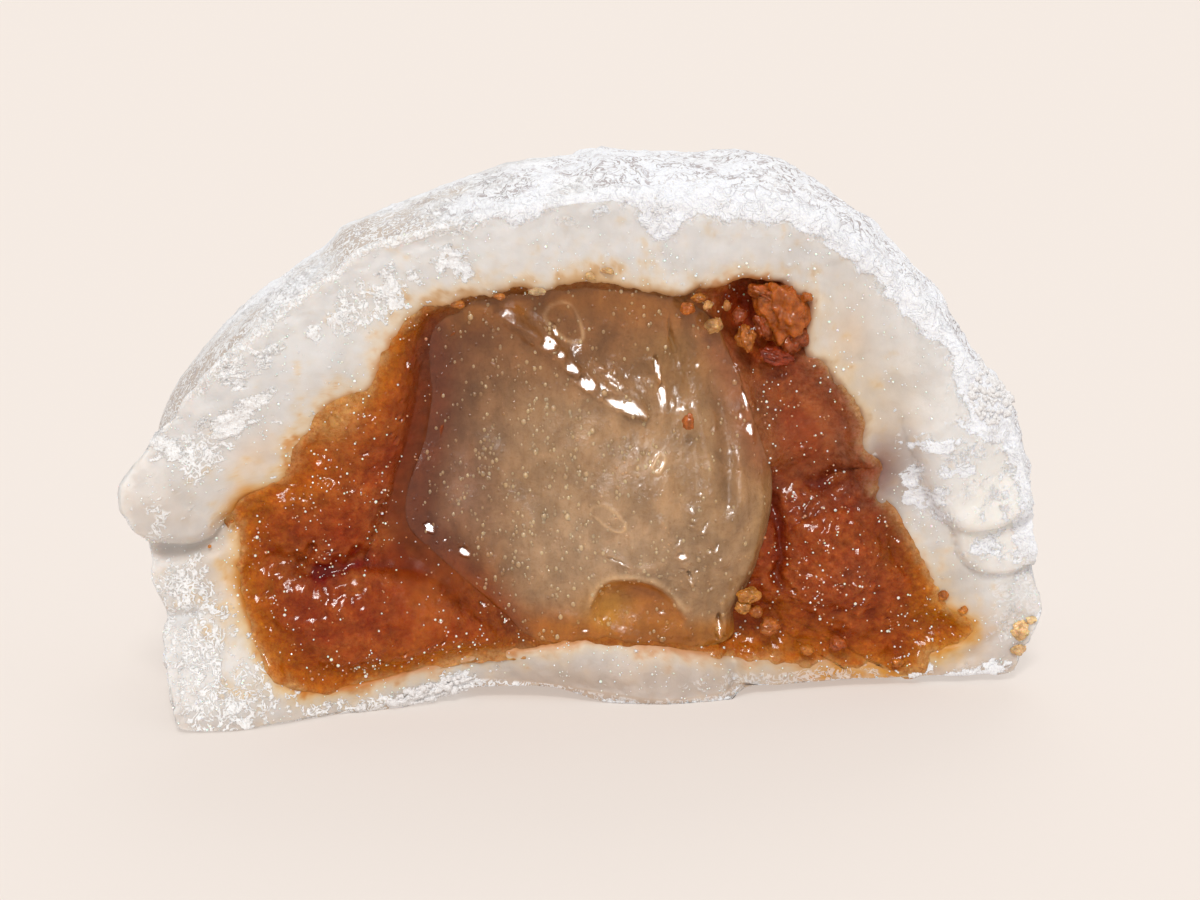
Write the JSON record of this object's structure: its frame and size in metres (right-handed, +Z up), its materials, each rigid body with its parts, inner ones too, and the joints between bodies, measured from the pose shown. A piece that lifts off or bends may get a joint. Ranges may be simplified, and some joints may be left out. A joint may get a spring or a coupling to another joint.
{
  "type": "mochi rice cake half",
  "caption": "Cut half of a domed rice-dough sweet, lying on its flat base: a starch-dusted dough wrapper round brown paste and a clear jelly core, all showing at the cut.",
  "frame": {"origin": "middle of the flat base, on the surface that the half lies on, half way between the cut face and the back of the dome", "axes": "+X to the right and +Z up as seen from the cut side, +Y from the cut face towards the back of the dome"},
  "size_m": [0.054, 0.0324, 0.0316],
  "materials": {
    "rice_dough": "translucent white rice dough, satin where it is cut, dusted with dry starch outside",
    "brown_paste": "moist grainy red-brown paste with amber edges",
    "clear_jelly": "wet cloudy tan jelly with small bubbles"
  },
  "bodies": {
    "root": {"mochi_skin": "rice_dough", "paste_filling": "brown_paste", "jelly_core": "clear_jelly"}
  },
  "joints": []
}
